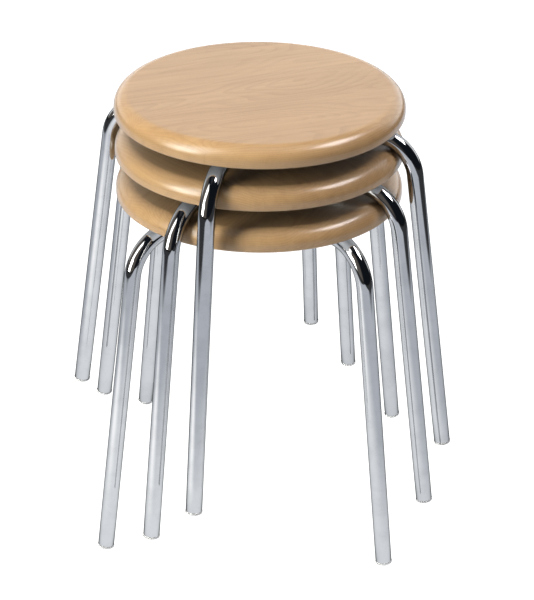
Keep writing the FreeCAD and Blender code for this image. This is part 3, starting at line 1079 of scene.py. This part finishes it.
def floor_material():
    material, tree, shader = new_material("white_sweep")
    place = own_position(tree)
    glow = None
    for middle, reach, core, colour in POOLS.values():
        inputs = {"Position": place, "Middle": (*middle, 0), "Reach": (*reach, 1), "Core": core}
        light = use_group(tree, pool_group, inputs)["Light"]
        part = scaled(tree, colour, light)
        glow = part if glow is None else vector_node(tree, "ADD", glow, part)
    axes = axes_of(tree, place)
    slanted = math_node(tree, "MULTIPLY", axes["Y"], LEFT_SLANT)
    from_left = math_node(tree, "ADD", axes["X"], slanted)
    inside_left = smooth_range(tree, from_left, *SHEET_LEFT, PAST_THE_SHEET, 1.0)
    inside_right = smooth_range(tree, axes["X"], *SHEET_RIGHT, PAST_THE_SHEET, 1.0)
    inside = math_node(tree, "MULTIPLY", inside_left, inside_right)
    rays = add_node(tree, "ShaderNodeLightPath").outputs
    from_axis = vector_node(tree, "LENGTH", place, out="Value")
    dull = smooth_range(tree, from_axis, *NEAR_REACH, NEAR_SHARE, FAR_SHARE)
    share = light_share(tree, rays, 1.0, dull, FLOOR_BOTH_SHARE)
    # The pools are painted light: glow in the floor's emission that the other rays see as a lit
    # floor.
    glow = scaled(tree, glow, math_node(tree, "MULTIPLY", inside, share))
    glowing = {
        "Emission Color": mix_colours(tree, rays["Is Camera Ray"], glow, (WHITE, WHITE, WHITE, 1)),
        "Emission Strength": 1.0,
        "Base Color": (0.02, 0.02, 0.02, 1),
        "Roughness": 0.9,
        "Specular IOR Level": 0.0,
    }
    feed(tree, shader, glowing)
    return material


mesh = bmesh.new()
bmesh.ops.create_grid(mesh, x_segments=1, y_segments=1, size=FLOOR_SIZE / 2)
floor_mesh = bpy.data.meshes.new("floor")
mesh.to_mesh(floor_mesh)
mesh.free()
floor_mesh.materials.append(floor_material())
floor = bpy.data.objects.new("floor", floor_mesh)
bpy.context.scene.collection.objects.link(floor)
print("floor laid")

# %% [markdown]
# Studio light
#
# Chrome shows the studio itself. The real one has a pale sweep behind the stools, a tall softbox in
# front to the left, a smaller one high on the right, one overhead, and a dark room on the right.
# They are built into the world: a softbox is a soft-edged rectangle seen from the stack, so a
# direction is divided by its depth towards the box, as in a perspective drawing, and compared with
# the box's half width and half height. The camera itself sees plain white behind the floor.
#
# The left softbox is three rectangles, so that its reflection and its light can be set apart: the
# strip gives the long white lines in the bends, the core gives the bright spot in the lacquer, and
# the key, which no mirror shows, gives the light on the wood.

# %% The softbox group
softbox, given, result = new_group(
    "softbox",
    {
        "Direction": ("vector", None),
        "Towards": ("vector", (0, 0, 1)),
        "Sideways": ("vector", (1, 0, 0)),
        "Upwards": ("vector", (0, 1, 0)),
        "Half Width": ("value", 0.5),
        "Half Height": ("value", 0.5),
        "Softness": ("value", 0.1),
    },
    {"Light": "value"},
)
LEAST_DEPTH = 0.02
depth = vector_node(softbox, "DOT_PRODUCT", given["Direction"], given["Towards"], out="Value")
light = math_node(softbox, "GREATER_THAN", depth, LEAST_DEPTH)
safe_depth = math_node(softbox, "MAXIMUM", depth, LEAST_DEPTH)
for label, size in (("Sideways", "Half Width"), ("Upwards", "Half Height")):
    offset = vector_node(softbox, "DOT_PRODUCT", given["Direction"], given[label], out="Value")
    offset = math_node(softbox, "ABSOLUTE", math_node(softbox, "DIVIDE", offset, safe_depth))
    outer = math_node(softbox, "ADD", given[size], given["Softness"])
    light = math_node(softbox, "MULTIPLY", light, smooth_range(softbox, offset, outer, given[size]))
softbox.links.new(light, result["Light"])
print("softbox group is ready")

# %% The softboxes
# Each softbox: azimuth from +X, elevation and lean in degrees, half width, half height and softness
# at unit depth, its colour, and its two levels: as a mirror shows it, and on a dull surface.
BOX_BOTH_SHARE = 0.02
SOFTBOXES = {
    "left_strip": (-148, 37, -14, 0.16, 0.42, 0.08, (1.0, 1.0, 0.97), (3.2, 0.0)),
    "left_key": (-149, 28, -14, 0.12, 0.28, 0.04, (1.0, 1.0, 0.90), (0.0, 29.0)),
    "top_fill": (-60, 87, 0, 0.22, 0.22, 0.10, (1.0, 0.98, 0.98), (0.03, 4.7)),
    "left_core": (-149, 8, -14, 0.16, 0.26, 0.12, (1.0, 1.0, 0.94), (7.0, 0.2)),
    "right_box": (2, 54, 0, 0.21, 0.13, 0.06, (1.0, 0.97, 1.0), (10.5, 4.0)),
}


def heading(azimuth, elevation):
    a, e = math.radians(azimuth), math.radians(elevation)
    return Vector((math.cos(a) * math.cos(e), math.sin(a) * math.cos(e), math.sin(e)))


world = bpy.data.worlds.new("studio")
bpy.context.scene.world = world
world.use_nodes = True
sky = world.node_tree
sky.nodes.clear()
direction = add_node(sky, "ShaderNodeTexCoord").outputs["Generated"]
boxes = None
rays = add_node(sky, "ShaderNodeLightPath").outputs
for name, (azimuth, elevation, lean, wide, high, soft, colour, levels) in SOFTBOXES.items():
    towards = heading(azimuth, elevation)
    sideways = towards.cross(Vector((0, 0, 1))).normalized()
    sideways.rotate(Matrix.Rotation(math.radians(lean), 3, towards))
    inputs = {"Direction": direction, "Towards": towards, "Sideways": sideways}
    inputs |= {"Upwards": sideways.cross(towards), "Softness": soft}
    light = use_group(sky, softbox, inputs | {"Half Width": wide, "Half Height": high})["Light"]
    light = math_node(sky, "MULTIPLY", light, light_share(sky, rays, *levels, BOX_BOTH_SHARE))
    part = scaled(sky, colour, light)
    boxes = part if boxes is None else vector_node(sky, "ADD", boxes, part)
    print(f"{name} stands at azimuth {azimuth}, {elevation} degrees up")

# %% [markdown]
# The room's walls are worked out from the direction too. The sweep rises behind the stools to a
# clear upper edge. It is brightest low down, and brighter on the right, where the overhead box
# lights it. The wall on the left is a dim warm grey, and the one on the right is nearly black. Both
# show in the chrome at full strength and light the wood only a little.

# %% The sweep behind the stools
ROOM_FILL = 0.10
SWEEP_SIDES = (0.34, 0.62)
SWEEP_TOP = [math.sin(math.atan(slope)) for slope in (0.93, 0.87)]
SWEEP_LOW = (0.34, 0.08)
SWEEP_MIDDLE = 0.70
SWEEP_SLANT = 0.38
SWEEP_LOW_GAIN = 0.75
SWEEP_COLOUR = (0.97, 0.985, 1.0)

axes = axes_of(sky, direction)
level = vector_node(sky, "MULTIPLY", direction, (1.0, 1.0, 0.0))
around = axes_of(sky, vector_node(sky, "NORMALIZE", level))
behind = smooth_range(sky, around["Y"], *SWEEP_SIDES)
below_edge = smooth_range(sky, axes["Z"], *SWEEP_TOP)
slant = math_node(sky, "MULTIPLY", around["X"], SWEEP_SLANT)
sweep = math_node(sky, "ADD", slant, SWEEP_MIDDLE)
low_down = smooth_range(sky, axes["Z"], *SWEEP_LOW, 0.0, SWEEP_LOW_GAIN)
sweep = math_node(sky, "ADD", sweep, low_down)
sweep = math_node(sky, "MULTIPLY", sweep, math_node(sky, "MULTIPLY", behind, below_edge))
shown_share = light_share(sky, rays, 1.0, ROOM_FILL, BOX_BOTH_SHARE)
sweep = math_node(sky, "MULTIPLY", sweep, shown_share)
sweep_light = scaled(sky, SWEEP_COLOUR, sweep)
print(f"the sweep's edge is {math.degrees(math.asin(SWEEP_TOP[0])):.0f} degrees up")

# %% The walls at the sides
LEFT_WALL = (0.135, 0.120, 0.108, 1)
RIGHT_WALL = (0.008, 0.010, 0.014, 1)
LEFT_WALL_SIDE, LEFT_WALL_TOP = (0.05, -0.25), (0.85, 0.7)

left_share = smooth_range(sky, around["X"], *LEFT_WALL_SIDE)
left_top = smooth_range(sky, axes["Z"], *LEFT_WALL_TOP)
left_share = math_node(sky, "MULTIPLY", left_share, left_top)
walls = scaled(sky, mix_colours(sky, left_share, RIGHT_WALL, LEFT_WALL), shown_share)
print("the walls have their colours")

# %% Light the room
all_light = vector_node(sky, "ADD", vector_node(sky, "ADD", walls, sweep_light), boxes)
lit = add_node(sky, "ShaderNodeBackground", {"Color": all_light})
shown = add_node(sky, "ShaderNodeBackground", {"Color": (1, 1, 1, 1), "Strength": WHITE})
choice = {0: rays["Is Camera Ray"], 1: lit.outputs[0], 2: shown.outputs[0]}
either = add_node(sky, "ShaderNodeMixShader", choice)
add_node(sky, "ShaderNodeOutputWorld", {"Surface": either.outputs[0]})
print("room is lit")

# %% [markdown]
# Camera
#
# The photograph was taken with a long lens from about 2.4 metres away, looking some 28 degrees
# down, with a hair of roll. These values were fitted to the outlines of the seats, legs and
# feet. The picture is 534 by 600 points, and the lens is worked out for its height.

# %% Set up the camera
IMAGE_HEIGHT = 600
FOCAL_POINTS = 1899.2
SENSOR = 36.0
CAMERA_PLACE = (0.01111, -2.11192, 1.42037)
LOOK_DOWN = math.radians(28.5894)
ROLL = math.radians(0.5943)

camera_data = bpy.data.cameras.new("camera")
camera_data.sensor_width = SENSOR
camera_data.lens = FOCAL_POINTS * SENSOR / IMAGE_HEIGHT
camera = bpy.data.objects.new("camera", camera_data)
camera.matrix_world = (
    Matrix.Translation(CAMERA_PLACE)
    @ Matrix.Rotation(math.pi / 2 - LOOK_DOWN, 4, "X")
    @ Matrix.Rotation(ROLL, 4, "Z")
)
bpy.context.scene.collection.objects.link(camera)
bpy.context.scene.camera = camera
bpy.context.scene.view_settings.view_transform = "Standard"
print(f"lens {camera_data.lens:.1f} mm")
